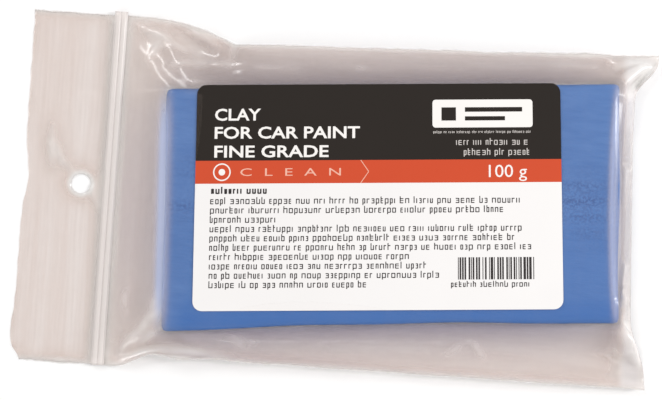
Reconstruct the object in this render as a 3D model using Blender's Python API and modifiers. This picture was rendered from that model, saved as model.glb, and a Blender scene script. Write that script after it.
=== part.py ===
"""Bar of detailing clay in a flat, clear grip-seal pouch that lies on its back, label up.

Frame: +X runs from the open mouth to the bottom fold, Y across the pouch, +Z up.
The origin is under the middle of the pouch's outline, on the surface that it lies on.
All sizes are in metres.
"""

import math

import bmesh
import bpy
from mathutils import Matrix, Vector

# Driving dimensions
FILM = 0.00015  # gauge of the pouch film
GAP = 0.00025  # clearance kept between separate solids
POUCH_WIDTH = 0.103
LIP_LENGTH = 0.025  # from the mouth's edge to the middle of the zip
BODY_LENGTH = 0.155  # from the middle of the zip to the bottom fold
WELD_WIDTH = 0.0012
WELD_HEIGHT = 0.0004
FOLD_RADIUS = 0.0006  # outside of the film where it turns over

CLAY_LENGTH = 0.1305
CLAY_WIDTH = 0.070
CLAY_HEIGHT = 0.008
CLAY_EDGE = 0.0012  # bevel of the cut block's edges
CLAY_FROM_ZIP = 0.0817  # middle of the bar, from the middle of the zip
CLAY_ASIDE = 0.0004
CLAY_TURN = math.radians(4.6)  # the bar lies a little askew in its pouch
CLAY_SHEAR = 0.037  # how far the ends lean from square, as a slope
CLAY_MARGIN = 0.0010  # film's flat top past the bar's sides

LABEL_LENGTH = 0.1055
LABEL_WIDTH = 0.065
LABEL_SHEET = 0.00012
LABEL_CORNER = 0.0027
LABEL_OFFSET = Vector((-0.0035, 0.0026))  # from the middle of the bar
LABEL_TURN = math.radians(4.3)

ZIP_WIDTH = 0.0030
ZIP_SHOULDER = 0.0035  # the zip and the raised film stop this far inside the film's side edges
GROOVE_BASE = 0.00020
GROOVE_WALL = 0.00050
GROOVE_SLOT = 0.00130
GROOVE_DEPTH = 0.00055
RIB_BASE = 0.00020
RIB_BEAD = 0.00080

HINGE_FROM_ZIP = 0.008  # line across the pouch about which the front lip is lifted
HINGE_HEIGHT = 0.0030

HOLE_DIAMETER = 0.0062
HOLE_FROM_ZIP = 0.0085
HOLE_ASIDE = 0.0012
HOLE_SIDES = 32

# Places that follow from them
HALF_LENGTH = (LIP_LENGTH + BODY_LENGTH) / 2
MOUTH_X = -HALF_LENGTH
FOLD_X = HALF_LENGTH
ZIP_X = MOUTH_X + LIP_LENGTH
HINGE_X = ZIP_X + HINGE_FROM_ZIP
CLAY_CENTRE = Vector((ZIP_X + CLAY_FROM_ZIP, CLAY_ASIDE))
HOLE_CENTRE = Vector((ZIP_X - HOLE_FROM_ZIP, HOLE_ASIDE))

HALF_WIDTH = POUCH_WIDTH / 2
PANEL_HALF = HALF_WIDTH - WELD_WIDTH - GAP
PANEL_END_X = FOLD_X - FOLD_RADIUS - GAP

BACK_Z = FILM / 2  # mid-surface of the back film
FLOOR_Z = FILM + GAP  # lowest level of what lies on the back film
PINCH_Z = FLOOR_Z + FILM / 2  # front film where it lies on the back film
GROOVE_TOP = FLOOR_Z + GROOVE_BASE + GROOVE_DEPTH
RIB_BOTTOM = FLOOR_Z + GROOVE_BASE + GAP
RIB_SHOULDER = GROOVE_TOP + GAP
RIB_TOP = RIB_SHOULDER + RIB_BASE
ZIP_FILM_Z = RIB_TOP + GAP + FILM / 2  # front film over the zip
FOLD_FILM_Z = 2 * FOLD_RADIUS - FILM / 2  # front film at the fold
CLAY_TOP = FLOOR_Z + CLAY_HEIGHT
COVER_Z = CLAY_TOP + GAP + FILM / 2  # front film over the bar
LABEL_Z = COVER_Z + FILM / 2 + GAP


def clear_scene():
    for obj in list(bpy.data.objects):
        bpy.data.objects.remove(obj, do_unlink=True)


def collection(name):
    made = bpy.data.collections.new(name)
    bpy.context.scene.collection.children.link(made)
    return made


def material(name, colour, roughness, alpha=1.0):
    made = bpy.data.materials.new(name)
    made.use_nodes = True
    shader = made.node_tree.nodes["Principled BSDF"]
    shader.inputs["Base Color"].default_value = (*colour, 1.0)
    shader.inputs["Roughness"].default_value = roughness
    shader.inputs["Metallic"].default_value = 0.0
    shader.inputs["Alpha"].default_value = alpha
    return made


def place(data, name, home, look):
    obj = bpy.data.objects.new(name, data)
    home.objects.link(obj)
    data.materials.append(look)
    return obj


def outline_curve(name, points, half_thickness):
    """A closed flat outline in its own XY plane, filled on both sides."""
    curve = bpy.data.curves.new(name, "CURVE")
    curve.dimensions = "2D"
    curve.fill_mode = "BOTH"
    curve.extrude = half_thickness
    spline = curve.splines.new("POLY")
    spline.points.add(len(points) - 1)
    for point, (x, y) in zip(spline.points, points):
        point.co = (x, y, 0.0, 1.0)
    spline.use_cyclic_u = True
    return curve


def outline_solid(name, points, half_thickness, matrix, home, look):
    """An extruded outline as a closed mesh, turned and moved by the matrix."""
    curve = outline_curve(name + "_outline", points, half_thickness)
    guide = bpy.data.objects.new(name + "_outline", curve)
    home.objects.link(guide)
    bpy.context.view_layer.update()
    evaluated = guide.evaluated_get(bpy.context.evaluated_depsgraph_get())
    mesh = bpy.data.meshes.new_from_object(evaluated)
    bpy.data.objects.remove(guide, do_unlink=True)
    shape = bmesh.new()
    shape.from_mesh(mesh)
    bmesh.ops.remove_doubles(shape, verts=shape.verts, dist=1e-6)
    bmesh.ops.recalc_face_normals(shape, faces=shape.faces)
    shape.to_mesh(mesh)
    shape.free()
    obj = place(mesh, name, home, look)
    obj.matrix_world = matrix
    return obj


def film_solid(name, rows, home, look, origin=Vector((0.0, 0.0, 0.0))):
    """A sheet through rows of points along X, each row four points across Y, given the film's gauge."""
    shape = bmesh.new()
    bmesh.ops.create_grid(shape, x_segments=3, y_segments=len(rows) - 1, size=1.0)
    shape.verts.ensure_lookup_table()
    for number, point in enumerate(shape.verts):
        row, column = divmod(number, 4)
        point.co = Vector(rows[row][column]) - origin
    bmesh.ops.recalc_face_normals(shape, faces=shape.faces)
    mesh = bpy.data.meshes.new(name)
    shape.to_mesh(mesh)
    shape.free()
    obj = place(mesh, name, home, look)
    obj.location = origin
    wall = obj.modifiers.new("gauge", "SOLIDIFY")
    wall.thickness = FILM
    wall.offset = 0.0
    wall.use_even_offset = True
    return obj


def punch(obj, cutter):
    cut = obj.modifiers.new("hang_hole", "BOOLEAN")
    cut.operation = "DIFFERENCE"
    cut.solver = "EXACT"
    cut.object = cutter


def turned(point, angle):
    return Matrix.Rotation(angle, 2) @ Vector(point)


def clay_outline(margin):
    """The bar's four corners seen from above, grown sideways by the margin."""
    corners = []
    for along, across in ((-1, -1), (1, -1), (1, 1), (-1, 1)):
        y = across * (CLAY_WIDTH / 2 + margin)
        x = along * (CLAY_LENGTH / 2 + margin) + CLAY_SHEAR * y
        corners.append(CLAY_CENTRE + turned((x, y), CLAY_TURN))
    return corners


def rounded_rectangle(length, width, radius, steps=6):
    points = []
    for quarter in range(4):
        centre_x = (length / 2 - radius) * (1 if quarter in (0, 3) else -1)
        centre_y = (width / 2 - radius) * (1 if quarter in (0, 1) else -1)
        for step in range(steps + 1):
            angle = math.pi / 2 * (quarter + step / steps)
            x = centre_x + radius * math.cos(angle)
            y = centre_y + radius * math.sin(angle)
            points.append((x, y))
    return points


def clay_bar(home):
    look = material("clay_bar", (0.085, 0.200, 0.480), 0.55)
    lift = Matrix.Translation((0.0, 0.0, FLOOR_Z + CLAY_HEIGHT / 2))
    obj = outline_solid("clay_bar", clay_outline(0.0), CLAY_HEIGHT / 2, lift, home, look)
    edges = obj.modifiers.new("soft_edges", "BEVEL")
    edges.width = CLAY_EDGE
    edges.segments = 2
    return obj


def back_panel(home, look):
    """The back of the pouch, flat on the table, from the lip line to the bottom fold."""
    columns = (-PANEL_HALF, -PANEL_HALF / 3, PANEL_HALF / 3, PANEL_HALF)
    rows = [[(x, y, BACK_Z) for y in columns] for x in (HINGE_X + GAP, PANEL_END_X)]
    return film_solid("back_panel", rows, home, look)


def front_panel(home, look):
    """The front of the pouch: flat over the bar, and sloping from there to the edges."""
    shoulder = HALF_WIDTH - ZIP_SHOULDER
    near_mouth, near_fold, far_fold, far_mouth = clay_outline(CLAY_MARGIN)
    mouth_x = HINGE_X + GAP
    mouth = [
        (mouth_x, -PANEL_HALF, PINCH_Z),
        (mouth_x, -shoulder, HINGE_HEIGHT),
        (mouth_x, shoulder, HINGE_HEIGHT),
        (mouth_x, PANEL_HALF, PINCH_Z),
    ]
    first = [
        (near_mouth.x, -PANEL_HALF, PINCH_Z),
        (*near_mouth, COVER_Z),
        (*far_mouth, COVER_Z),
        (far_mouth.x, PANEL_HALF, PINCH_Z),
    ]
    last = [
        (near_fold.x, -PANEL_HALF, PINCH_Z),
        (*near_fold, COVER_Z),
        (*far_fold, COVER_Z),
        (far_fold.x, PANEL_HALF, PINCH_Z),
    ]
    fold = [
        (PANEL_END_X, -PANEL_HALF, PINCH_Z),
        (PANEL_END_X, -shoulder, FOLD_FILM_Z),
        (PANEL_END_X, shoulder, FOLD_FILM_Z),
        (PANEL_END_X, PANEL_HALF, PINCH_Z),
    ]
    return film_solid("front_panel", [mouth, first, last, fold], home, look)


def front_lip(home, look, cutter):
    """The front film from the mouth's edge over the zip to the line where it lifts."""
    shoulder = HALF_WIDTH - ZIP_SHOULDER
    heights = (
        (MOUTH_X, PINCH_Z),
        (ZIP_X - ZIP_WIDTH / 2 - GAP, ZIP_FILM_Z),
        (ZIP_X + ZIP_WIDTH / 2 + GAP, ZIP_FILM_Z),
        (HINGE_X, HINGE_HEIGHT),
    )
    rows = []
    for x, z in heights:
        rows.append(
            [(x, -HALF_WIDTH, PINCH_Z), (x, -shoulder, z), (x, shoulder, z), (x, HALF_WIDTH, PINCH_Z)]
        )
    axis = Vector((HINGE_X, 0.0, HINGE_HEIGHT))
    obj = film_solid("front_lip", rows, home, look, axis)
    punch(obj, cutter)
    return obj


def back_lip(home, look, cutter):
    """The back film under the front lip."""
    columns = (-HALF_WIDTH, -HALF_WIDTH / 3, HALF_WIDTH / 3, HALF_WIDTH)
    rows = [[(x, y, BACK_Z) for y in columns] for x in (MOUTH_X, HINGE_X)]
    obj = film_solid("back_lip", rows, home, look)
    punch(obj, cutter)
    return obj


def hole_cutter(home):
    """The punch that goes through both lips at once."""
    depth = 0.02
    bpy.ops.mesh.primitive_cylinder_add(
        vertices=HOLE_SIDES, radius=HOLE_DIAMETER / 2, depth=depth, location=(*HOLE_CENTRE, 0.0)
    )
    cutter = bpy.context.object
    cutter.name = "hang_hole_punch"
    for other in list(cutter.users_collection):
        other.objects.unlink(cutter)
    home.objects.link(cutter)
    cutter.hide_render = True
    cutter.display_type = "WIRE"
    return cutter


def zip_matrix():
    """Turns an outline drawn in X and Z so that it is extruded along Y."""
    return Matrix.Translation((ZIP_X, 0.0, 0.0)) @ Matrix.Rotation(math.pi / 2, 4, "X")


def zip_groove(home, look):
    """Female half on the back film: a strip with two walls."""
    half = ZIP_WIDTH / 2
    outer = GROOVE_SLOT / 2 + GROOVE_WALL
    inner = GROOVE_SLOT / 2
    floor = FLOOR_Z + GROOVE_BASE
    profile = [(-half, FLOOR_Z), (half, FLOOR_Z), (half, floor), (outer, floor)]
    profile += [(outer, GROOVE_TOP), (inner, GROOVE_TOP), (inner, floor)]
    profile += [(-inner, floor), (-inner, GROOVE_TOP), (-outer, GROOVE_TOP)]
    profile += [(-outer, floor), (-half, floor)]
    half_run = HALF_WIDTH - ZIP_SHOULDER - GAP
    return outline_solid("zip_groove", profile, half_run, zip_matrix(), home, look)


def zip_rib(home, look, axis):
    """Male half under the front film: a strip with one bead that drops into the groove."""
    half = ZIP_WIDTH / 2
    bead = RIB_BEAD / 2
    profile = [(-bead, RIB_BOTTOM), (bead, RIB_BOTTOM), (bead, RIB_SHOULDER)]
    profile += [(half, RIB_SHOULDER), (half, RIB_TOP), (-half, RIB_TOP)]
    profile += [(-half, RIB_SHOULDER), (-bead, RIB_SHOULDER)]
    half_run = HALF_WIDTH - ZIP_SHOULDER - GAP
    obj = outline_solid("zip_rib", profile, half_run, zip_matrix(), home, look)
    obj.parent = axis
    obj.matrix_parent_inverse = axis.matrix_world.inverted()
    return obj


def hinge_axis(home):
    """The line about which the front lip and its rib are lifted."""
    axis = bpy.data.objects.new("mouth_axis", None)
    home.objects.link(axis)
    axis.location = (HINGE_X, 0.0, HINGE_HEIGHT)
    bpy.context.view_layer.update()
    return axis


def side_weld(name, side, home, look):
    """Hot-cut seam where the front and back films are melted into one bead."""
    length = FOLD_X - HINGE_X - GAP
    middle_x = (FOLD_X + HINGE_X + GAP) / 2
    middle_y = side * (HALF_WIDTH - WELD_WIDTH / 2)
    shape = bmesh.new()
    bmesh.ops.create_cube(shape, size=1.0)
    bmesh.ops.scale(shape, vec=(length, WELD_WIDTH, WELD_HEIGHT), verts=shape.verts)
    mesh = bpy.data.meshes.new(name)
    shape.to_mesh(mesh)
    shape.free()
    obj = place(mesh, name, home, look)
    obj.location = (middle_x, middle_y, WELD_HEIGHT / 2)
    return obj


def bottom_fold(home, look):
    """The film turned over at the closed end: half a tube between the two panels."""
    inner = FOLD_RADIUS - FILM
    steps = 6
    arc = [math.pi / 2 - math.pi * step / steps for step in range(steps + 1)]
    outer_points = [(FOLD_RADIUS * math.cos(a), FOLD_RADIUS * math.sin(a)) for a in arc]
    inner_points = [(inner * math.cos(a), inner * math.sin(a)) for a in reversed(arc)]
    matrix = Matrix.Translation((FOLD_X - FOLD_RADIUS, 0.0, FOLD_RADIUS))
    matrix = matrix @ Matrix.Rotation(math.pi / 2, 4, "X")
    return outline_solid("bottom_fold", outer_points + inner_points, PANEL_HALF, matrix, home, look)


def label(home):
    """Self-adhesive label with round corners on the outside of the front film."""
    look = material("label", (0.900, 0.890, 0.880), 0.40)
    middle = CLAY_CENTRE + LABEL_OFFSET
    matrix = Matrix.Translation((*middle, LABEL_Z + LABEL_SHEET / 2))
    matrix = matrix @ Matrix.Rotation(LABEL_TURN, 4, "Z")
    outline = rounded_rectangle(LABEL_LENGTH, LABEL_WIDTH, LABEL_CORNER)
    return outline_solid("label", outline, LABEL_SHEET / 2, matrix, home, look)


def main():
    clear_scene()
    home = collection("clay_bar_in_pouch")
    helpers = collection("cutters")
    clear_film = (0.780, 0.740, 0.720)
    cutter = hole_cutter(helpers)
    axis = hinge_axis(home)
    clay_bar(home)
    back_panel(home, material("back_panel", clear_film, 0.25, 0.45))
    front_panel(home, material("front_panel", clear_film, 0.25, 0.45))
    front_lip(home, material("front_lip", clear_film, 0.25, 0.45), cutter)
    back_lip(home, material("back_lip", clear_film, 0.25, 0.45), cutter)
    zip_groove(home, material("zip_groove", (0.860, 0.830, 0.790), 0.35, 0.70))
    zip_rib(home, material("zip_rib", (0.860, 0.830, 0.790), 0.35, 0.70), axis)
    weld_look = (0.840, 0.810, 0.790)
    side_weld("side_weld_near", -1, home, material("side_weld_near", weld_look, 0.30, 0.60))
    side_weld("side_weld_far", 1, home, material("side_weld_far", weld_look, 0.30, 0.60))
    bottom_fold(home, material("bottom_fold", clear_film, 0.25, 0.45))
    label(home)


main()
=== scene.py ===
"""Looks of a detailing clay bar in its clear grip-seal pouch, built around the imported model.

The film is a numpy cloth simulation of two sheets welded at their sides and fold, with the bar
inside. Lengths are in metres, except that names ending in _MM, the film's points until they
become a mesh, and the label's own coordinates are in millimetres.
"""

import math
import random

import bmesh
import bpy
import numpy as np
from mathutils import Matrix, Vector


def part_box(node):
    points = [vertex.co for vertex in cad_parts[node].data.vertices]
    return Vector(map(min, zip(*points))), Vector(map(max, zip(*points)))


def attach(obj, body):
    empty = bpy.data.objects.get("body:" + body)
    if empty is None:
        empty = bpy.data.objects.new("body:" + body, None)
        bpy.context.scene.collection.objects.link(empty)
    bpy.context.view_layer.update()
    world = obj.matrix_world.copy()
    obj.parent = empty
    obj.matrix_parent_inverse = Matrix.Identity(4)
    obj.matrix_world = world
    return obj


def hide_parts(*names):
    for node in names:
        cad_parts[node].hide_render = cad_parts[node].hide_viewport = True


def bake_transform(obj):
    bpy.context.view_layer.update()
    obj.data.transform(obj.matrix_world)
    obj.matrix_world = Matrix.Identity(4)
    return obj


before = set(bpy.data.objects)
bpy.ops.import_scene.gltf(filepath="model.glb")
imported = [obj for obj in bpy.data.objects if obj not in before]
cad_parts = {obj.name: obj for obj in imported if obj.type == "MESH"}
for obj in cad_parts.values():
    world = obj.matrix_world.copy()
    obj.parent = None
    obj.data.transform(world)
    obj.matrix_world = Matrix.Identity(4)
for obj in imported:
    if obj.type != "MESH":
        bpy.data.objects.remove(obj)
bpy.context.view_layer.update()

MM = 0.001

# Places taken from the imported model
ZIP_X = (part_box("zip_rib")[0].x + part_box("zip_rib")[1].x) / 2
HALF_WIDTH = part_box("back_lip")[1].y
CLAY_LOW, CLAY_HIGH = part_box("clay_bar")
CLAY_MIDDLE = (CLAY_LOW + CLAY_HIGH) / 2
LABEL_LOW, LABEL_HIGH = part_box("label")
LABEL_OFFSET = Vector((0, 0.00027, 0))
LABEL_MIDDLE = (LABEL_LOW + LABEL_HIGH) / 2 + LABEL_OFFSET

# The bar, the label and the hang hole, with the model's sizes and turns
CLAY_SIZE = Vector((0.1305, 0.070, 0.008))
CLAY_TURN = math.radians(4.6)
CLAY_SHEAR = 0.037  # how far its ends lean, along its length for each unit across
CLAY_HALF_MM = np.array(CLAY_SIZE) / MM / 2
LABEL_SIZE = Vector((0.1055, 0.065))
LABEL_TURN = math.radians(4.3)
LABEL_CORNER = 0.0027
LABEL_TAPER = 0.0115  # how much narrower its far edge is than its middle, and wider its near edge
LABEL_LEAN_MM = 0.30  # how far its far edge is shifted along, and its near edge back
HOLE_MIDDLE = Vector((ZIP_X - 0.0085, 0.0012))
HOLE_RADIUS = 0.0028

# The film
FLAT_LENGTH = 0.1828
FLAT_WIDTH = 0.1016
CELLS_ALONG = 148
CELLS_ACROSS = 84
LIP_CELLS = 20.5  # from the mouth's edge to the middle of the zip
HALF_FLAT_MM = FLAT_WIDTH / MM / 2
FILM_GAUGE = 0.00008
ZIP_FRONT_Z = 0.00125
ZIP_BACK_Z = 0.00012
CLAY_BOTTOM_Z = 0.00035
CLAY_TOP_MM = (CLAY_BOTTOM_Z + CLAY_SIZE.z) / MM
CLAY_ROUNDING_MM = 1.6  # of the slab that the film lies round
FILM_CLEAR_MM = 0.14  # from the clay
FILM_APART_MM = 0.14  # between the two sheets
FLOOR_CLEAR_MM = 0.06
CRUMPLE_MM = 1.1
# Where the film wets the clay: x, y, reach and strength
WET_PATCHES_MM = (
    (55.5, 2.0, 9.0, 1.0),
    (58.0, -8.0, 6.0, 0.5),
    (-59.5, 0.5, 5.0, 0.8),
    (-57.0, 12.0, 6.0, 0.5),
)
# Sharp folds of the front film, each from x, y to x, y with its height
CREASES_MM = (
    (-61.0, 49.0, -42.5, 40.0, 1.0),
    (-51.5, 45.0, -57.0, 38.0, 0.8),
    (-55.0, 37.5, -23.0, 39.0, 0.7),
    (-59.5, -48.5, -48.0, -32.0, 1.1),
    (-59.0, -23.0, -57.0, -41.0, 0.6),
    (-52.0, -44.0, -46.0, -36.5, 0.7),
    (83.5, -21.0, 91.8, -40.0, 1.6),
    (35.0, -42.0, 41.0, -36.5, 0.5),
    (48.0, -42.0, 42.0, -36.5, 0.5),
    (-30.0, -38.0, -22.0, -43.0, 0.5),
    (-48.5, -27.0, -52.0, -42.0, 0.7),
    (84.0, -33.0, 87.0, -47.0, 0.8),
    (-84.1, 20.5, -81.6, 3.5, 1.0),
    (-82.5, 14.0, -75.4, 3.0, 1.0),
    (-71.8, 1.0, -67.8, -5.0, 0.7),
)

# The simulation
STIFFNESS = 0.022
SINK_MM = 0.0012  # the pull of gravity in one step
GLIDE, SETTLE = 0.985, 0.93  # share of the speed that a step keeps, at first and near the end
DRAW_PART = 0.4  # part of the steps in which the outline is drawn in
SIM_STEPS = 3000


# ---- film simulation


def pair_slices(count, first):
    """Two slices of one axis that pair every second item, from the first one, with the next."""
    end = first + (count - first) // 2 * 2
    return slice(first, end, 2), slice(first + 1, end, 2)


def stretch_batches(along, across, size_x, size_y):
    """Groups of point pairs that share no point, with each group's rest length."""
    every, low, high = slice(None), slice(0, across - 1), slice(1, across)
    diagonal = math.hypot(size_x, size_y)
    batches = []
    for first in (0, 1):
        a, b = pair_slices(along, first)
        batches.append(((every, a, every), (every, b, every), size_x))
        batches.append(((every, a, low), (every, b, high), diagonal))
        batches.append(((every, a, high), (every, b, low), diagonal))
    for first in (0, 1):
        a, b = pair_slices(across, first)
        batches.append(((every, every, a), (every, every, b), size_y))
    return batches


def laplacian(p):
    """Mean of the neighbours less the point, along each axis, free at the edges."""
    out = np.zeros_like(p)
    out[:, 1:-1] += (p[:, 2:] + p[:, :-2]) / 2 - p[:, 1:-1]
    out[:, :, 1:-1] += (p[:, :, 2:] + p[:, :, :-2]) / 2 - p[:, :, 1:-1]
    return out


def near_inset(x):
    """How far the bar's near side bows in, in millimetres, with x from -1 at its left end to 1."""
    return 1.2 * np.clip(1 - x * x, 0, 1) + 0.4 * np.clip(1 + x, 0, 2)


def right_flare(y):
    """How far the bar's right end leans out, in millimetres, with y from -1 at its near side to 1."""
    return 0.65 * np.clip(1 - y, 0, 2)


def turned(x, y, angle):
    """Places or directions turned about Z."""
    c, s = math.cos(angle), math.sin(angle)
    return c * x - s * y, s * x + c * y


def to_clay(points):
    """Points in the bar's own frame, in millimetres, in which its sides are straight and square."""
    x = points[..., 0] - CLAY_MIDDLE.x / MM
    y = points[..., 1] - CLAY_MIDDLE.y / MM
    local = np.empty_like(points)
    local[..., 0], local[..., 1] = turned(x, y, -CLAY_TURN)
    local[..., 0] -= CLAY_SHEAR * local[..., 1]
    local[..., 2] = points[..., 2] - (CLAY_BOTTOM_Z + CLAY_SIZE.z / 2) / MM
    half_x, half_y = CLAY_HALF_MM[:2]
    inset = near_inset(local[..., 0] / half_x)
    flare = right_flare(local[..., 1] / half_y)
    local[..., 1] *= np.where(local[..., 1] < 0, half_y / (half_y - inset), 1.0)
    local[..., 0] *= np.where(local[..., 0] > 0, half_x / (half_x + flare), 1.0)
    return local


def from_clay_direction(v):
    """A direction in the bar's own frame, as a direction in the world."""
    x = v[..., 0] + CLAY_SHEAR * v[..., 1]
    out = v.copy()
    out[..., 0], out[..., 1] = turned(x, v[..., 1], CLAY_TURN)
    return out


def ease(t):
    """A smooth step from 0 to 1, as t goes from 0 to 1."""
    t = np.clip(t, 0, 1)
    return t * t * (3 - 2 * t)


def drawn_in(x, side):
    """Where a hot-cut side lies, in millimetres: the crumpled film draws it in past the zip."""
    straight = 5  # the zip keeps this much flat
    past_zip = x - ZIP_X / MM
    if side == "near":
        deepest, regained = 4.4, 0.6
        back_out = regained * ease((past_zip - 17) / 8)
        return -HALF_FLAT_MM + deepest * ease((past_zip - straight) / 12) - back_out
    deepest, length, slope = 6.2, 28, 0.040
    dip = np.clip((past_zip - straight) / length, 0, 1) ** 2.2
    return HALF_FLAT_MM - deepest * dip + slope * np.maximum(past_zip - straight - length, 0)


def drawn_in_fold(y):
    """Where the fold at the closed end lies, in millimetres: held back by the bar between two ears."""
    middle, slant = 87.3, 0.055
    far_ear = 6.8 * ease((y - 37) / 11)
    near_ear = 4.2 * ease((-y - 27) / 17)
    return middle - slant * y + np.where(y > 0, far_ear, near_ear)


def push_off_clay(points, clear):
    """Moves points out of the rounded slab, by the shortest way."""
    local = to_clay(points)
    q = np.abs(local) - (CLAY_HALF_MM - CLAY_ROUNDING_MM)
    outside = np.maximum(q, 0)
    length = np.linalg.norm(outside, axis=-1)
    depth = length + np.minimum(q.max(-1), 0) - CLAY_ROUNDING_MM
    hit = depth < clear
    if not hit.any():
        return
    normal = outside[hit] / np.maximum(length[hit], 1e-9)[:, None]
    inner = length[hit] < 1e-6
    if inner.any():
        normal[inner] = np.eye(3)[q[hit][inner].argmax(-1)]
    normal *= np.where(local[hit] < 0, -1.0, 1.0)
    points[hit] += from_clay_direction(normal * (clear - depth[hit])[:, None])


def label_height(x, y):
    """Top of the film under the label, which bows a little over the soft bar, in millimetres."""
    lift, bow, wave = 0.16, 0.22, 0.05
    u = (x - LABEL_MIDDLE.x / MM) / 52.0
    v = (y - LABEL_MIDDLE.y / MM) / 32.0
    return CLAY_TOP_MM + lift + bow * (1 - u * u) * (1 - v * v) + wave * np.sin(2.3 * u + 1.1 * v)


def in_label(x, y, inset):
    """Whether points lie under the label, less an inset along its edges, in millimetres."""
    u, v = turned(x - LABEL_MIDDLE.x / MM, y - LABEL_MIDDLE.y / MM, -LABEL_TURN)
    return (np.abs(u) < LABEL_SIZE.x / MM / 2 - inset) & (np.abs(v) < LABEL_SIZE.y / MM / 2 - inset)


def smooth_noise(shape, coarse, seed):
    """Seeded noise, smooth over the given number of cells, from -1 to 1."""
    rng = np.random.default_rng(seed)
    rough = rng.uniform(-1, 1, (shape[0] // coarse + 3, shape[1] // coarse + 3))
    rows = np.linspace(0, rough.shape[0] - 1.001, shape[0])
    cols = np.linspace(0, rough.shape[1] - 1.001, shape[1])
    i, j = rows.astype(int)[:, None], cols.astype(int)[None, :]
    u, v = ease(rows - rows.astype(int))[:, None], ease(cols - cols.astype(int))[None, :]
    top = rough[i, j] * (1 - v) + rough[i, j + 1] * v
    low = rough[i + 1, j] * (1 - v) + rough[i + 1, j + 1] * v
    return top * (1 - u) + low * u


def start_shape(along, across, size_x, size_y):
    """Both sheets flat, with the front held over the bar."""
    x = ZIP_X / MM + (np.arange(along) - LIP_CELLS) * size_x
    y = -HALF_FLAT_MM + np.arange(across) * size_y
    gx, gy = np.meshgrid(x, y, indexing="ij")
    p = np.zeros((2, along, across, 3))
    p[..., 0], p[..., 1] = gx, gy
    local = to_clay(p[0])
    reach = np.maximum(np.abs(local[..., 0]) - 65.2, np.abs(local[..., 1]) - 35.0)
    low, top = 0.6, CLAY_TOP_MM + FILM_CLEAR_MM
    lift = np.clip(1 - np.maximum(reach, 0) / 12, 0, 1)
    edge = np.minimum(np.minimum(gy - gy.min(), gy.max() - gy), gx.max() - gx)
    free = np.clip(edge / 6, 0, 1)
    lift *= free
    p[0, ..., 2] = low + (top - low) * lift
    p[1, ..., 2] = 0.08
    crumple = smooth_noise((along, across), 7, 5) + 0.7 * smooth_noise((along, across), 4, 6)
    p[0, ..., 2] += CRUMPLE_MM * crumple * free
    p[1, ..., 2] += 0.1 + 0.1 * smooth_noise((along, across), 9, 8)
    return p


def held_zip(p, rows):
    """The two rows of each sheet that the zip holds: apart in the middle and close at the ends."""
    held = p[:, rows].copy()
    low, high, least = ZIP_BACK_Z / MM, ZIP_FRONT_Z / MM, 0.15
    ends = np.clip((HALF_FLAT_MM - np.abs(held[0, ..., 1])) / 3.0, 0, 1)
    held[0, ..., 2] = low + least + (high - low - least) * ends
    held[1, ..., 2] = low
    return held


def pull_to_length(p, weight, batches):
    """Moves each pair of points to its rest length, shared by weight."""
    for a, b, rest in batches:
        gap = p[b] - p[a]
        length = np.sqrt((gap * gap).sum(-1, keepdims=True))
        wa, wb = weight[a], weight[b]
        move = gap * ((length - rest) / np.maximum(length, 1e-9) / np.maximum(wa + wb, 1e-9))
        p[a] += move * wa
        p[b] -= move * wb


def keep_clear(p):
    """Keeps the sheets off the clay, each other and the floor, and the front one to the label."""
    push_off_clay(p, FILM_CLEAR_MM)
    stuck = in_label(p[0, ..., 0], p[0, ..., 1], -1.3)
    p[0, ..., 2][stuck] = label_height(p[0, ..., 0], p[0, ..., 1])[stuck]
    middle = (p[0, ..., 2] + p[1, ..., 2]) / 2
    crossed = p[0, ..., 2] < p[1, ..., 2] + FILM_APART_MM
    p[0, ..., 2] = np.where(crossed, middle + FILM_APART_MM / 2, p[0, ..., 2])
    p[1, ..., 2] = np.where(crossed, middle - FILM_APART_MM / 2, p[1, ..., 2])
    p[..., 2] = np.maximum(p[..., 2], FLOOR_CLEAR_MM)


def draw_outline(p, first, size_x, size_y, draw):
    """Leads the sides and the fold, past the first row, from flat to their places as draw goes to 1."""
    for column, side, sign in ((0, "near", -1), (-1, "far", 1)):
        weld = p[:, first:, column]
        flat = size_y * CELLS_ACROSS / 2 * sign
        target = drawn_in(weld[..., 0], side) * draw + flat * (1 - draw)
        weld[..., 1] += 0.9 * (target - weld[..., 1])
    fold = p[:, -1]
    flat_fold = ZIP_X / MM + (CELLS_ALONG - LIP_CELLS) * size_x
    target = drawn_in_fold(fold[..., 1]) * draw + flat_fold * (1 - draw)
    fold[..., 0] += 0.5 * (target - fold[..., 0])
    body = p[:, first:]
    loose = 3.0 * (1 - draw)
    body[..., 1] = np.maximum(body[..., 1], drawn_in(body[..., 0], "near") - loose)
    body[..., 1] = np.minimum(body[..., 1], drawn_in(body[..., 0], "far") + loose)
    body[..., 0] = np.minimum(body[..., 0], drawn_in_fold(body[..., 1]) + loose)


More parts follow.
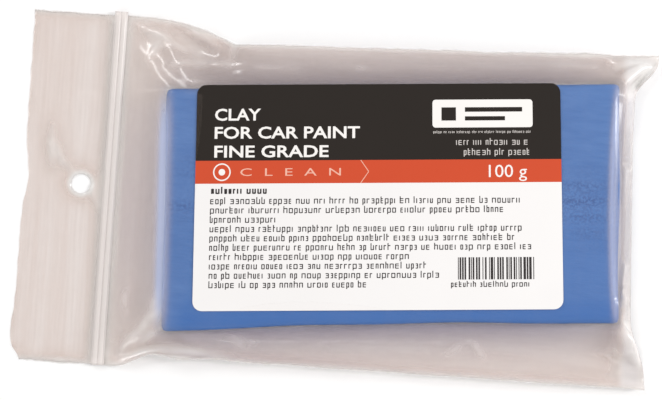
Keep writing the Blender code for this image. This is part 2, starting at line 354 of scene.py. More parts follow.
def simulate_film():
    """Front and back sheets at rest round the bar: an array of (sheet, along, across, xyz)."""
    along, across = CELLS_ALONG + 1, CELLS_ACROSS + 1
    size_x = FLAT_LENGTH / MM / CELLS_ALONG
    size_y = FLAT_WIDTH / MM / CELLS_ACROSS
    p = start_shape(along, across, size_x, size_y)
    zip_rows = [int(LIP_CELLS), int(LIP_CELLS) + 1]
    held = held_zip(p, zip_rows)
    weight = np.ones((2, along, across, 1))
    weight[:, zip_rows] = 0
    batches = stretch_batches(along, across, size_x, size_y)
    old = p.copy()
    steps = SIM_STEPS
    for step in range(steps):
        late = step / steps
        velocity = (p - old) * (GLIDE if late < 0.7 else SETTLE)
        old = p.copy()
        p += velocity
        p[..., 2] -= SINK_MM
        pull_to_length(p, weight, batches)
        p -= STIFFNESS * laplacian(laplacian(p)) * weight
        keep_clear(p)
        p[:, zip_rows] = held
        for line in ((slice(None), 0), (slice(None), -1), (-1, slice(None))):
            joined = (p[0][line] + p[1][line]) / 2
            p[0][line] = joined
            p[1][line] = joined
        draw_outline(p, zip_rows[-1] + 1, size_x, size_y, ease(late / DRAW_PART))
    return p


def drawn_taut(sheet, start, bulge):
    """Runs the film straight from a line near the bar's right end to the fold, with a bulge."""
    local = to_clay(sheet)
    half_x, half_y = CLAY_HALF_MM[:2]
    taut = sheet.copy()
    for column in range(sheet.shape[1]):
        first = int(np.argmax(local[:, column, 0] > half_x + start))
        t = np.linspace(0, 1, len(sheet) - first)[:, None]
        line = sheet[first, column] * (1 - t) + sheet[-1, column] * t
        line[:, 2] += bulge * np.sin(np.pi * t[:, 0])
        share = ease((half_y + 2 - abs(local[first, column, 1])) / 5)
        taut[first:, column] += share * (line - sheet[first:, column])
    push_off_clay(taut, FILM_CLEAR_MM)
    return taut


def smooth_skirt(sheet, start, bulge, fold):
    """Runs the film straight from the bar's far side to the far weld, bulged and softly folded."""
    local = to_clay(sheet)
    half_x, half_y = CLAY_HALF_MM[:2]
    fold_out, fold_width = 4.0, 0.9
    smooth = sheet.copy()
    last = sheet.shape[1] - 1
    for row in range(len(sheet)):
        beyond = local[row, :, 1] - half_y - start
        first = max(int(np.argmax(beyond > 0)), 1)
        part = beyond[first] / (beyond[first] - beyond[first - 1])
        foot = sheet[row, first] * (1 - part) + sheet[row, first - 1] * part
        t = ((np.arange(first, last + 1) - first + part) / (last - first + part))[:, None]
        line = foot * (1 - t) + sheet[row, -1] * t
        ridge = fold * np.exp(-(((beyond[first:] - fold_out) / fold_width) ** 2))
        line[:, 2] += (bulge + ridge) * np.sin(np.pi * t[:, 0])
        before = local[row, first, 0] + half_x
        share = ease((before - 6) / 12) * ease((2 * half_x - before) / 8)
        smooth[row, first:] += share * (line - sheet[row, first:])
    push_off_clay(smooth, FILM_CLEAR_MM)
    return smooth


def creased(sheet):
    """Adds the sharp folds, each a wavering ridge with one steep and one flat side."""
    flat_side, steep_side = 2.4, 0.8
    shaped = sheet.copy()
    for x0, y0, x1, y1, height in CREASES_MM:
        length = math.hypot(x1 - x0, y1 - y0)
        ux, uy = (x1 - x0) / length, (y1 - y0) / length
        along = ((sheet[..., 0] - x0) * ux + (sheet[..., 1] - y0) * uy) / length
        off = -(sheet[..., 0] - x0) * uy + (sheet[..., 1] - y0) * ux
        off = off + 0.5 * np.sin(5.0 * along + x0) + 0.25 * np.sin(13.0 * along + y0)
        profile = np.exp(-np.abs(off) / np.where(off > 0, flat_side, steep_side))
        ends = np.clip(np.sin(np.pi * np.clip(along, 0, 1)), 0, 1) ** 0.7
        shaped[..., 2] += height * profile * ends
    columns = np.arange(sheet.shape[1])
    free = np.clip(np.minimum(columns, columns[::-1]) / 5.0, 0, 1)[None, :, None]
    return sheet + (shaped - sheet) * free


def crinkled(sheet, seed, height):
    """Adds faint ridged crinkles where the film hangs free."""
    out = (np.abs(to_clay(sheet)) - CLAY_HALF_MM)[..., :2].max(-1)
    free = ease((out - 0.5) / 4) * ease((sheet[..., 0] - ZIP_X / MM - 3) / 5)
    ridged = 1 - np.abs(smooth_noise(sheet.shape[:2], 13, seed)) * 2
    ridged += 0.5 * (1 - np.abs(smooth_noise(sheet.shape[:2], 6, seed + 1)) * 2)
    shaped = sheet.copy()
    shaped[..., 2] += height * ridged * free
    return shaped


def refined(p):
    """The grid with a point between each two, on a smooth curve through them."""
    for axis in (0, 1):
        p = np.moveaxis(p, axis, 0)
        padded = np.concatenate([2 * p[:1] - p[1:2], p, 2 * p[-1:] - p[-2:-1]])
        between = (9 * (padded[1:-2] + padded[2:-1]) - padded[:-3] - padded[3:]) / 16
        out = np.empty((2 * len(p) - 1, *p.shape[1:]))
        out[::2], out[1::2] = p, between
        p = np.moveaxis(out, 0, axis)
    return p


# ---- meshes


def linked(name, data):
    """A new object in the scene, of a mesh, curve, light or camera."""
    obj = bpy.data.objects.new(name, data)
    bpy.context.scene.collection.objects.link(obj)
    return obj


def new_object(name, points, faces):
    """A smooth-shaded mesh object from points in metres."""
    mesh = bpy.data.meshes.new(name)
    mesh.from_pydata([tuple(q) for q in points], [], faces)
    mesh.validate()
    mesh.shade_smooth()
    return linked(name, mesh)


def grid_faces(rows, columns, skip):
    """The cells of a grid of points, without those to skip."""
    faces = []
    for i in range(rows - 1):
        for j in range(columns - 1):
            if not skip[i, j]:
                a = i * columns + j
                faces.append((a, a + columns, a + columns + 1, a + 1))
    return faces


def ring_faces(rings, sides):
    """The walls of a tube of rings of points, and a cap at each end."""
    faces = []
    for k in range(rings - 1):
        for m in range(sides):
            n = (m + 1) % sides
            faces.append((k * sides + m, k * sides + n, (k + 1) * sides + n, (k + 1) * sides + m))
    faces.append(tuple(range(sides))[::-1])
    faces.append(tuple((rings - 1) * sides + m for m in range(sides)))
    return faces


def punch_hole(sheet):
    """Cells inside the hang hole, after moving the cells' corners near its rim onto the rim."""
    middle = np.array(HOLE_MIDDLE) / MM
    radius = HOLE_RADIUS / MM
    pitch = 0.62
    away = sheet[..., :2] - middle
    distance = np.linalg.norm(away, axis=-1)
    rim = np.abs(distance - radius) < pitch * 0.70
    sheet[..., :2][rim] = (middle + away * (radius / np.maximum(distance, 1e-6))[..., None])[rim]
    inside = (distance < radius) | rim
    return inside[:-1, :-1] & inside[1:, :-1] & inside[:-1, 1:] & inside[1:, 1:]


def add_point_attribute(obj, name, values):
    attribute = obj.data.attributes.new(name, "FLOAT", "POINT")
    attribute.data.foreach_set("value", np.asarray(values, np.float32).ravel())


def blurred(values, rounds):
    """A grid of values, each round mixing every value with its neighbours."""
    for _ in range(rounds):
        for axis in (0, 1):
            values = (np.roll(values, 1, axis) + 2 * values + np.roll(values, -1, axis)) / 4
    return values


def uneven(rng, count, window, spare):
    """A random walk along an edge, as rough as its window is short."""
    walk = np.convolve(rng.normal(0, 1, count + spare), window, "same")
    return walk[spare // 2 : -(spare // 2)]


def ragged_edges(sheet, seed):
    """Small uneven steps along the hot-cut sides, and the dented, worn edge of the mouth."""
    rng = np.random.default_rng(seed)
    rows = len(sheet)
    short, long = np.ones(3) / 3, np.hanning(31) / 8
    for column, sign in ((0, -1), (-1, 1)):
        walk = uneven(rng, rows, short, 8)
        long_walk = uneven(rng, rows, long, 60)
        sheet[:, column, 1] += sign * (0.10 * walk + 0.30 * long_walk)
        sheet[:, column, 0] += 0.10 * uneven(rng, rows, short, 8)
    y = sheet[0, :, 1]
    dent = 1.35 * np.exp(-(((y - 2.5) / 7) ** 2))
    swell = 0.8 * np.exp(-(((y + 42) / 6) ** 2))
    cut_corner = 2.4 * ease((-y - 46.5) / 4.5)
    mouth = dent - swell
    mouth += cut_corner + 0.12 * np.sin(0.9 * y) * np.sin(0.23 * y)
    fading = 16
    for row in range(fading):
        sheet[row, :, 0] += mouth * (1 - row / fading) ** 2


def tone_attributes(obj, sheet):
    """Point attributes of the film's places, which its material turns into haze and colour, painted
    shade and painted highlights among them.
    """
    tones = {}
    rows, columns = sheet.shape[:2]
    local = to_clay(sheet)
    half_x, half_y = CLAY_HALF_MM[:2]
    length, width = local[..., 0] / half_x, local[..., 1] / half_y
    q = np.abs(local) - CLAY_HALF_MM
    gap = np.linalg.norm(np.maximum(q, 0) * (1.0, 1.0, 0.35), axis=-1)
    tones["contact"] = np.clip(1 - (gap - 0.4) / 1.5, 0, 1)
    past_right = local[..., 0] - half_x
    # past the bar's right end the film is painted whiter and hazier, painted light in the shaded trough
    # there
    tones["end"] = ease((past_right - 0.5) / 2.5)

    # painted shade on the film's slope next to the bar, bluish as a painted reflection of the bar
    # except on the far side, and a little of it before the left end
    before = np.maximum(-half_x - local[..., 0], 0)
    aside = np.maximum(q[..., 1], 0)
    until_end = np.clip(1 - past_right / 2, 0, 1)
    between = 1 - 0.55 * np.clip(np.abs(length), 0, 1) ** 5
    painted_shade_by_bar = 0.95 * np.exp(-(aside + before * 0.8) / 6.5) * np.clip(aside / 0.3, 0, 1)
    painted_shade_by_bar = painted_shade_by_bar * until_end * between
    painted_shade_by_bar = np.where(width > 0, 1.12 * np.exp(aside / 16), 1.0) * painted_shade_by_bar
    middle = 1 - 0.65 * np.clip(np.abs(width), 0, 1) ** 2
    painted_shade_by_bar = np.maximum(painted_shade_by_bar, 0.25 * middle * ease(before / 2) * ease((17 - before) / 5))
    tones["painted_shade_by_bar"] = painted_shade_by_bar
    # which painted shade colour: grey on the far side, bluish elsewhere
    tones["far"] = ease((local[..., 1] - half_y + 8) / 8)
    tones["skirt"] = ease(aside / 1.5) * ease((local[..., 0] + half_x + 6) / 8)

    # painted highlights where the film bends over the bar's ends, tinted blue as a painted reflection
    # of the bar
    along_end = np.clip(1.15 - np.abs(width) ** 4, 0, 1)
    left_painted_highlight = 1.3 * np.exp(-(((local[..., 0] + half_x + 0.5) / 1.8) ** 2))
    lean = 2.2 - 1.3 * width**2
    right_painted_highlight = np.exp(-(((half_x - lean - local[..., 0]) / 0.9) ** 2))
    right_painted_highlight += 0.5 * np.exp(-(((half_x + 0.1 - local[..., 0]) / 0.8) ** 2))
    tones["painted_end_highlight"] = (left_painted_highlight + right_painted_highlight) * along_end

    # the cut edges, the punched hole, and painted light next to the zip
    inward = np.minimum(np.arange(columns), np.arange(columns)[::-1])[None, :] * np.ones((rows, 1))
    inward = np.minimum(inward, np.arange(rows)[::-1][:, None] * 0.8)
    from_hole = np.linalg.norm(sheet[..., :2] - np.array(HOLE_MIDDLE) / MM, axis=-1) - HOLE_RADIUS / MM
    # a painted highlight ring round the punched hole; the cut edges' whiteness is the film's own
    punched = 2.2 * np.exp(-((from_hole / 0.7) ** 2))
    tones["rim"] = np.clip(1 - inward / 3.0, 0, 1) + punched
    # next to the zip the film is painted lighter and hazier, painted light that lifts the zip's shade
    from_zip = np.abs(sheet[..., 0] - ZIP_X / MM)
    tones["flange"] = ease((5.2 - from_zip) / 3.4)

    # the creases off the bar, each with a soft surround: partly the film's whitening where it folds,
    # partly painted highlight
    sharp = np.linalg.norm(laplacian(sheet[None])[0], axis=-1)
    crease_white_and_highlight = np.clip((sharp - 0.03) / 0.15, 0, 1) * ease((np.maximum(q[..., 0], q[..., 1]) - 0.3) / 2)
    crease_white_and_highlight = blurred(crease_white_and_highlight, 3)
    tones["crease_white_and_highlight"] = 0.7 * crease_white_and_highlight + 1.1 * blurred(crease_white_and_highlight, 22)
    for name, values in tones.items():
        add_point_attribute(obj, name, values)


def film_object(name, sheet, top_side):
    """A sheet of film as a mesh with its hang hole, its attributes and its gauge."""
    skip = punch_hole(sheet)
    faces = grid_faces(*sheet.shape[:2], skip)
    if not top_side:
        faces = [face[::-1] for face in faces]
    obj = new_object(name, sheet.reshape(-1, 3) * MM, faces)
    tone_attributes(obj, sheet)
    loose = bmesh.new()
    loose.from_mesh(obj.data)
    bmesh.ops.delete(loose, geom=[v for v in loose.verts if not v.link_faces], context="VERTS")
    loose.to_mesh(obj.data)
    loose.free()
    wall = obj.modifiers.new("gauge", "SOLIDIFY")
    wall.thickness = FILM_GAUGE
    wall.offset = 0.0
    return obj


def swept(name, path, radii, sides, flatness):
    """A closed tube along a path, with its own radius at each point, flatter than it is wide."""
    tangent = np.gradient(path, axis=0)
    tangent /= np.linalg.norm(tangent, axis=1)[:, None]
    side = np.cross(tangent, (0, 0, 1))
    side /= np.linalg.norm(side, axis=1)[:, None]
    up = np.cross(side, tangent)
    angles = np.linspace(0, 2 * math.pi, sides, endpoint=False)
    rings = []
    for k in range(len(path)):
        for a in angles:
            rings.append(path[k] + radii[k] * (math.cos(a) * side[k] + flatness * math.sin(a) * up[k]))
    return new_object(name, rings, ring_faces(len(path), sides))


def weld_bead(name, line, seed):
    """The molten edge of the pouch: a thin uneven bead along one side."""
    flatness = 0.45
    wobble = uneven(np.random.default_rng(seed), len(line), np.ones(3) / 3, 4)
    radii = MM * np.clip(0.24 + 0.10 * wobble, 0.12, 0.5)
    path = line * MM
    path[:, 2] = np.maximum(path[:, 2], radii * 0.5)
    return swept(name, path, radii, 8, flatness)


def cut_block():
    """The bar's box at the origin, with its faces cut into small cells."""
    shape = bmesh.new()
    bmesh.ops.create_cube(shape, size=1.0)
    bmesh.ops.scale(shape, vec=CLAY_SIZE, verts=shape.verts)
    for axis, longer_than, cuts in ((0, 0.01, 85), (1, 0.01, 45), (2, 0.005, 5)):
        edges = [e for e in shape.edges if abs((e.verts[0].co - e.verts[1].co)[axis]) > longer_than]
        bmesh.ops.subdivide_edges(shape, edges=edges, cuts=cuts, use_grid_fill=True)
    mesh = bpy.data.meshes.new("clay_slab")
    shape.to_mesh(mesh)
    shape.free()
    return mesh


def clay_slab():
    """The soft block: slightly wavy faces, rounded edges, leaning ends and a bowed near side."""
    mesh = cut_block()
    obj = linked("clay_slab", mesh)
    co = np.array([v.co for v in mesh.vertices])
    half = np.array(CLAY_SIZE) / 2
    rounding = 0.0014
    core = np.clip(co, -(half - rounding), half - rounding)
    away = co - core
    length = np.linalg.norm(away, axis=1)
    far = length > 1e-9
    co[far] = core[far] + away[far] / length[far][:, None] * rounding
    x, y, z = co[:, 0] / half[0], co[:, 1] / half[1], co[:, 2] / half[2]
    near = np.clip(-y, 0, 1)
    co[:, 1] += near * near_inset(x) * MM
    co[:, 0] += np.clip(x, 0, 1) * right_flare(y) * MM
    side_wave, end_wave, hollow = 0.00018, 0.00025, 0.00022
    co[:, 1] -= side_wave * np.sin(9 * x + 2) * near
    co[:, 0] += end_wave * np.sin(5 * y + 1) * np.abs(x) ** 6
    co[:, 2] -= hollow * (z > 0) * (0.5 + 0.5 * np.sin(3.1 * x + 2 * y) * np.cos(4.0 * y - x))
    middle = np.array((CLAY_MIDDLE.x, CLAY_MIDDLE.y, CLAY_BOTTOM_Z + CLAY_SIZE.z / 2))
    placed = from_clay_direction(co) + middle
    mesh.vertices.foreach_set("co", placed.astype(np.float32).ravel())
    mesh.update()
    mesh.shade_smooth()
    wet = np.zeros(len(co))
    for middle_x, middle_y, reach, amount in WET_PATCHES_MM:
        away = np.hypot(co[:, 0] / MM - middle_x, (co[:, 1] / MM - middle_y) * 1.3)
        wet += amount * np.exp(-((away / reach) ** 2))
    in_rows = np.cos(np.pi * (co[:, 1] / MM - 1.2) / 4.6) ** 2
    add_point_attribute(obj, "wet", wet * (0.4 + 0.8 * in_rows))
    # the clay darker along its near side and over its near right part
    near_strip = ease((-y - 0.62) / 0.30) * ease((x + 1) / 0.12)
    right_part = 0.45 * ease((0.3 - y) / 0.9) * ease((x - 0.5) / 0.3)
    add_point_attribute(obj, "darker_near_and_right", np.maximum(near_strip, right_part))
    return obj


# ---- label and print


def label_point(u, v, lift):
    """A world point from label coordinates in millimetres, lifted off the film."""
    c, s = math.cos(LABEL_TURN), math.sin(LABEL_TURN)
    up = v / (LABEL_SIZE.y / MM / 2)
    u = u * (1 - LABEL_TAPER * up) + LABEL_LEAN_MM * (up - 0.8)
    x = LABEL_MIDDLE.x / MM + c * u - s * v
    y = LABEL_MIDDLE.y / MM + s * u + c * v
    return np.array((x, y, label_height(x, y) + lift)) * MM


def rounded_box(u0, u1, v0, v1, radius, steps=6):
    """The outline of a rectangle with round corners."""
    points = []
    corners = ((u1, v1, 0), (u0, v1, 1), (u0, v0, 2), (u1, v0, 3))
    for u, v, quarter in corners:
        cu = u - radius if u == u1 else u + radius
        cv = v - radius if v == v1 else v + radius
        for k in range(steps + 1):
            a = math.pi / 2 * (quarter + k / steps)
            points.append((cu + radius * math.cos(a), cv + radius * math.sin(a)))
    return points


def inked(outlines, name, lift, thickness, look):
    """Flat outlines in label coordinates as one thin printed layer that follows the label."""
    longest = 8.0
    shape = bmesh.new()
    for outline in outlines:
        verts = [shape.verts.new((u, v, 0)) for u, v in outline]
        shape.faces.new(verts)
    bmesh.ops.triangulate(shape, faces=shape.faces[:])
    for _ in range(5):
        long_edges = [e for e in shape.edges if e.calc_length() > longest]
        if not long_edges:
            break
        bmesh.ops.subdivide_edges(shape, edges=long_edges, cuts=1)
        bmesh.ops.triangulate(shape, faces=[f for f in shape.faces if len(f.verts) > 3])
    if shape.faces and sum(f.normal.z for f in shape.faces) < 0:
        bmesh.ops.reverse_faces(shape, faces=shape.faces[:])
    for v in shape.verts:
        v.co = Vector(label_point(v.co.x, v.co.y, lift))
    mesh = bpy.data.meshes.new(name)
    shape.to_mesh(mesh)
    shape.free()
    obj = linked(name, mesh)
    wall = obj.modifiers.new("ink", "SOLIDIFY")
    wall.thickness = thickness
    wall.offset = -1.0
    mesh.materials.append(look)
    return obj


def text_outlines(words, height, u, v, width, right=False, bold=0.0, spacing=1.0):
    """Triangles of a line of plain lettering, with its left or right end and baseline given."""
    curve = bpy.data.curves.new("words", "FONT")
    curve.body = words
    curve.size = 1.0
    curve.offset = bold
    curve.space_character = spacing
    curve.resolution_u = 3
    obj = linked("words", curve)
    bpy.context.view_layer.update()
    mesh = bpy.data.meshes.new_from_object(obj.evaluated_get(bpy.context.evaluated_depsgraph_get()))
    bpy.data.objects.remove(obj, do_unlink=True)
    mesh.calc_loop_triangles()
    co = np.array([p.co for p in mesh.vertices])[:, :2]
    tris = [tuple(t.vertices) for t in mesh.loop_triangles]
    bpy.data.meshes.remove(mesh)
    capital_height = 0.70
    left_end, right_end = co[:, 0].min(), co[:, 0].max()
    scale_u = width / (right_end - left_end)
    co[:, 0] = (co[:, 0] - (right_end if right else left_end)) * scale_u + u
    co[:, 1] = co[:, 1] * (height / capital_height) + v
    outlines = []
    for tri in tris:
        a, b, c = (co[k] for k in tri)
        if abs((b[0] - a[0]) * (c[1] - a[1]) - (b[1] - a[1]) * (c[0] - a[0])) > 1e-7:
            outlines.append([tuple(a), tuple(b), tuple(c)])
    return outlines


def box_outline(u0, u1, v0, v1):
    """The outline of a rectangle."""
    return [(u0, v0), (u1, v0), (u1, v1), (u0, v1)]


def pseudo_letter(rng, u, v, height, pen):
    """A few strokes about the size of one small letter that spell nothing."""
    wide = height * rng.choice((0.42, 0.5, 0.55, 0.6))
    low = 0.70 * height
    kind = rng.randrange(8)
    stem = box_outline(u, u + pen, v, v + (height if rng.random() < 0.2 else low))
    tail = box_outline(u, u + pen, v - 0.25 * height, v + low)
    right_stem = box_outline(u + wide - pen, u + wide, v, v + low)
    top = box_outline(u + pen * 0.5, u + wide - pen * 0.5, v + low - pen * 0.8, v + low + pen * 0.2)
    foot = box_outline(u + pen * 0.5, u + wide - pen * 0.5, v - pen * 0.2, v + pen * 0.8)
    middle = box_outline(u + pen, u + wide - pen * 0.4, v + low * 0.46, v + low * 0.46 + pen * 0.85)
    arm = box_outline(u + pen, u + wide * 0.7, v + low - pen, v + low)
    letters = (
        ([stem, right_stem, top], wide),
        ([stem, right_stem, foot], wide),
        ([stem, middle, foot, top], wide),
        ([stem], pen * 1.3),
        ([stem, arm], wide * 0.75),
        ([top, foot, middle, right_stem], wide),
        ([tail, right_stem, top, foot], wide),
        ([stem, right_stem, top, foot], wide),
    )
    return letters[kind]


def greeked_line(rng, u0, u1, v, height, pen):
    """A line of unreadable small words from one margin to the other."""
    strokes = []
    u = u0
    while u < u1 - height:
        for _ in range(rng.choice((2, 3, 4, 5, 5, 6, 7, 8))):
            if u > u1 - height * 0.5:
                break
            made, wide = pseudo_letter(rng, u, v, height, pen)
            strokes += made
            u += wide + height * 0.2
        u += height * 0.45
    return strokes


def bar_code(rng, u0, u1, v0, v1):
    """Bars and gaps of random widths, which encode nothing."""
    bars = []
    u = u0
    unit = (u1 - u0) / 95
    while u < u1 - unit:
        wide = unit * rng.choice((1, 1, 2, 2, 3))
        bars.append(box_outline(u, min(u + wide, u1), v0, v1))
        u += wide + unit * rng.choice((1, 1, 2, 3))
    return bars


def ring_outline(u, v, radius, pen, steps=28):
    """A ring of the given outer radius, in short pieces."""
    inner = radius - pen
    quads = []
    for k in range(steps):
        a, b = (2 * math.pi * (k + d) / steps for d in (0, 1))
        corners = ((radius, a), (radius, b), (inner, b), (inner, a))
        quads.append([(u + r * math.cos(t), v + r * math.sin(t)) for r, t in corners])
    return quads


def disc_outline(u, v, radius, steps=20):
    """The outline of a disc."""
    angles = [2 * math.pi * k / steps for k in range(steps)]
    return [(u + radius * math.cos(a), v + radius * math.sin(a)) for a in angles]


def line_outline(points, pen):
    """A line through the points, as one bar for each stretch."""
    quads = []
    for (u0, v0), (u1, v1) in zip(points, points[1:]):
        length = math.hypot(u1 - u0, v1 - v0)
        nu, nv = -(v1 - v0) / length * pen / 2, (u1 - u0) / length * pen / 2
        quads.append([(u0 - nu, v0 - nv), (u1 - nu, v1 - nv), (u1 + nu, v1 + nv), (u0 + nu, v0 + nv)])
    return quads


# ---- materials


EVEN = (1, 1, 1)


class Nodes:
    """Short calls for making a node material."""

    def __init__(self, name):
        self.material = bpy.data.materials.new(name)
        self.material.use_nodes = True
        self.tree = self.material.node_tree
        self.shader = self.tree.nodes["Principled BSDF"]

    def add(self, kind, **settings):
        made = self.tree.nodes.new("ShaderNode" + kind)
        for key, value in settings.items():
            setattr(made, key, value)
        return made

    def link(self, out, into):
        self.tree.links.new(out, into)

    def fill(self, socket, value):
        """Gives an input another node's output, a colour or a number."""
        if isinstance(value, bpy.types.NodeSocket):
            self.link(value, socket)
        elif isinstance(value, tuple):
            socket.default_value = (*value, 1)
        else:
            socket.default_value = value

    def noise(self, stretch, scale, detail=4.0, rough=0.5, distortion=0.0):
        """Noise over the object's own coordinates, each first scaled by its stretch."""
        where = self.add("TexCoord")
        mapping = self.add("Mapping")
        mapping.inputs["Scale"].default_value = stretch
        self.link(where.outputs["Object"], mapping.inputs["Vector"])
        made = self.add("TexNoise")
        settings = {"Scale": scale, "Detail": detail, "Roughness": rough, "Distortion": distortion}
        for key, value in settings.items():
            made.inputs[key].default_value = value
        self.link(mapping.outputs["Vector"], made.inputs["Vector"])
        return made.outputs["Fac"]

    def ramp(self, value, *stops):
        """Grey levels, each at its place along the value."""
        made = self.add("ValToRGB")
        elements = made.color_ramp.elements
        while len(elements) < len(stops):
            elements.new(0.5)
        for element, (place, grey) in zip(elements, stops):
            element.position = place
            element.color = (grey, grey, grey, 1)
        self.link(value, made.inputs["Fac"])
        return made.outputs["Color"]

    def maths(self, operation, a, b):
        made = self.add("Math", operation=operation)
        for socket, value in zip(made.inputs, (a, b)):
            self.fill(socket, value)
        return made.outputs["Value"]

    def mix(self, factor, a, b):
        made = self.add("Mix", data_type="RGBA")
        self.link(factor, made.inputs["Factor"])
        self.fill(made.inputs[6], a)
        self.fill(made.inputs[7], b)
        return made.outputs[2]

    def attribute(self, name):
        return self.add("Attribute", attribute_name=name).outputs["Fac"]

    def bump(self, height, strength, distance):
        made = self.add("Bump")
        made.inputs["Strength"].default_value = strength
        made.inputs["Distance"].default_value = distance
        self.link(height, made.inputs["Height"])
        self.link(made.outputs["Normal"], self.shader.inputs["Normal"])

    def set(self, **values):
        for key, value in values.items():
            self.fill(self.shader.inputs[key.replace("_", " ")], value)


def film_look(name):
    """Hazy polyethylene: clear on the clay, whiter at creases and edges partly as painted highlight,
    with painted shade next to the bar.
    """
    haze_free, haze_on_clay = 0.135, 0.015
    n = Nodes(name)
    coarse = n.noise(EVEN, 38.0, 5.0, 0.55)
    skirt = n.attribute("skirt")
    streaks = n.noise((1, 0.035, 1), 900.0, 3.0, 0.6)
    streaks = n.mix(skirt, streaks, n.noise((0.05, 1, 1), 620.0, 3.0, 0.6))
    bands = n.noise((1, 0.03, 1), 170.0, 2.0, 0.5)
    bands = n.mix(skirt, bands, n.noise((0.10, 1, 1), 300.0, 2.0, 0.5))
    patchy = n.maths("ADD", n.maths("MULTIPLY", coarse, 0.6), n.maths("MULTIPLY", bands, 0.8))
    patchy = n.maths("ADD", patchy, n.maths("MULTIPLY", streaks, 0.6))
    haze = n.maths("MULTIPLY", patchy, haze_free)
    cling = n.attribute("contact")
    clear = n.maths("SUBTRACT", 1.0, n.maths("MULTIPLY", cling, 1 - haze_on_clay / haze_free))
    haze = n.maths("MULTIPLY", haze, clear)
    # the haze each place adds, much of it carrying the painted shade and painted light below
    added = {"end": 0.10, "flange": 0.15, "rim": 0.04, "crease_white_and_highlight": 0.55, "painted_shade_by_bar": 0.18, "painted_end_highlight": 0.30}
    place = {key: n.attribute(key) for key in added}
    for key, amount in added.items():
        haze = n.maths("ADD", haze, n.maths("MULTIPLY", place[key], amount))
    colour = n.mix(coarse, (0.88, 0.68, 0.59), (0.99, 0.84, 0.77))
    # painted shade next to the bar: bluish, a painted reflection of the bar, except on the far side,
    # where it is grey
    shaded = n.mix(n.attribute("far"), (0.37, 0.34, 0.50), (0.35, 0.28, 0.29))
    colour = n.mix(place["painted_shade_by_bar"], colour, shaded)
    # painted light: whiter film past the bar's right end
    colour = n.mix(place["end"], colour, (0.95, 0.88, 0.87))
    # painted light next to the zip
    colour = n.mix(place["flange"], colour, (0.98, 0.92, 0.88))
    # painted highlights over the bar's ends, bluish as a painted reflection of the bar
    colour = n.mix(place["painted_end_highlight"], colour, (0.68, 0.75, 1.00))
    # whiter cut edges, and a painted highlight ring round the hole
    colour = n.mix(place["rim"], colour, (0.92, 0.85, 0.81))
    # whiter creases: partly the film's whitening where it folds, partly painted highlight
    colour = n.mix(place["crease_white_and_highlight"], colour, (0.97, 0.95, 0.93))
    n.set(Base_Color=colour, Alpha=haze, Roughness=0.22, IOR=1.51)
    n.set(Specular_IOR_Level=0.9, Coat_Weight=0.5, Coat_Roughness=0.11)
    fine = n.noise((1, 0.25, 1), 420.0, 3.0, 0.6)
    n.bump(n.maths("ADD", fine, n.maths("MULTIPLY", streaks, 0.5)), 0.2, 0.0002)
    return n.material


def zip_look():
    """Clear polyethylene, thick and bright along the ridges and thin between them, with the valleys a
    little darker as painted shade.
    """
    n = Nodes("zip_polyethylene")
    lines = n.noise((1, 0.02, 1), 1500.0, 2.0, 0.5)
    crest = n.ramp(n.attribute("ridge"), (0.15, 0.0), (0.60, 1.0))
    bright = n.mix(lines, (0.91, 0.84, 0.81), (0.99, 0.94, 0.91))
    haze = n.maths("ADD", n.maths("MULTIPLY", crest, 0.22), 0.40)
    # the valleys a little darker: painted shade between the ridges
    n.set(Base_Color=n.mix(crest, (0.92, 0.85, 0.83), bright), Alpha=haze, Roughness=0.25)
    n.bump(lines, 0.2, 0.0001)
    return n.material


def weld_look():
    """Whitish polyethylene that has melted and set in blobs."""
    n = Nodes("melted_edge")
    blobs = n.noise(EVEN, 700.0, 3.0, 0.6)
    colour = n.mix(blobs, (0.86, 0.80, 0.76), (0.96, 0.94, 0.92))
    n.set(Base_Color=colour, Alpha=0.22, Roughness=0.40)
    n.bump(blobs, 0.5, 0.0003)
    return n.material


def clay_look():
    """Matt blue clay, darker along its near side and over its near right part, with dots where the film
    wets it.
    """
    n = Nodes("blue_clay")
    broad = n.noise((1, 1.6, 1), 26.0, 4.0, 0.55, 0.4)
    fine = n.noise((0.5, 2.0, 1), 260.0, 5.0, 0.6)
    base = n.mix(n.ramp(broad, (0.3, 0.0), (0.7, 1.0)), (0.048, 0.143, 0.388), (0.075, 0.182, 0.442))
    colour = n.mix(n.ramp(fine, (0.35, 0.0), (0.75, 0.35)), base, (0.120, 0.250, 0.530))
    dots = n.ramp(n.noise(EVEN, 1450.0, 2.0, 0.5), (0.44, 0.0), (0.54, 1.0))
    # darker along the near side and over the near right part
    colour = n.mix(n.maths("MULTIPLY", n.attribute("darker_near_and_right"), 0.8), colour, (0.022, 0.125, 0.400))
    speckle = n.maths("MULTIPLY", dots, n.attribute("wet"))
    colour = n.mix(speckle, colour, (0.040, 0.105, 0.300))
    n.set(Base_Color=colour, Roughness=0.48, Specular_IOR_Level=0.4)
    n.bump(n.maths("ADD", fine, n.maths("MULTIPLY", broad, 1.4)), 0.35, 0.0006)
    return n.material


def paper_look(name, colour, roughness=0.42, spread=0.03):
    """Coated paper or ink on it, a little uneven."""
    n = Nodes(name)
    grain = n.noise(EVEN, 900.0, 4.0, 0.6)
    broad = n.noise(EVEN, 45.0, 3.0, 0.5)
    low = tuple(max(0.0, c * (1 - spread)) for c in colour)
    high = tuple(min(1.0, c * (1 + spread)) for c in colour)
    n.set(Base_Color=n.mix(broad, low, high), Roughness=roughness, Specular_IOR_Level=0.3)
    n.bump(grain, 0.10, 0.0001)
    return n.material


def floor_look():
    """A pale matt table top."""
    n = Nodes("pale_floor")
    cloudy = n.noise(EVEN, 3.0, 3.0, 0.5)
    n.set(Base_Color=n.mix(cloudy, (0.962, 0.962, 0.965), (0.978, 0.976, 0.974)), Roughness=0.9)
    return n.material


# ---- pieces


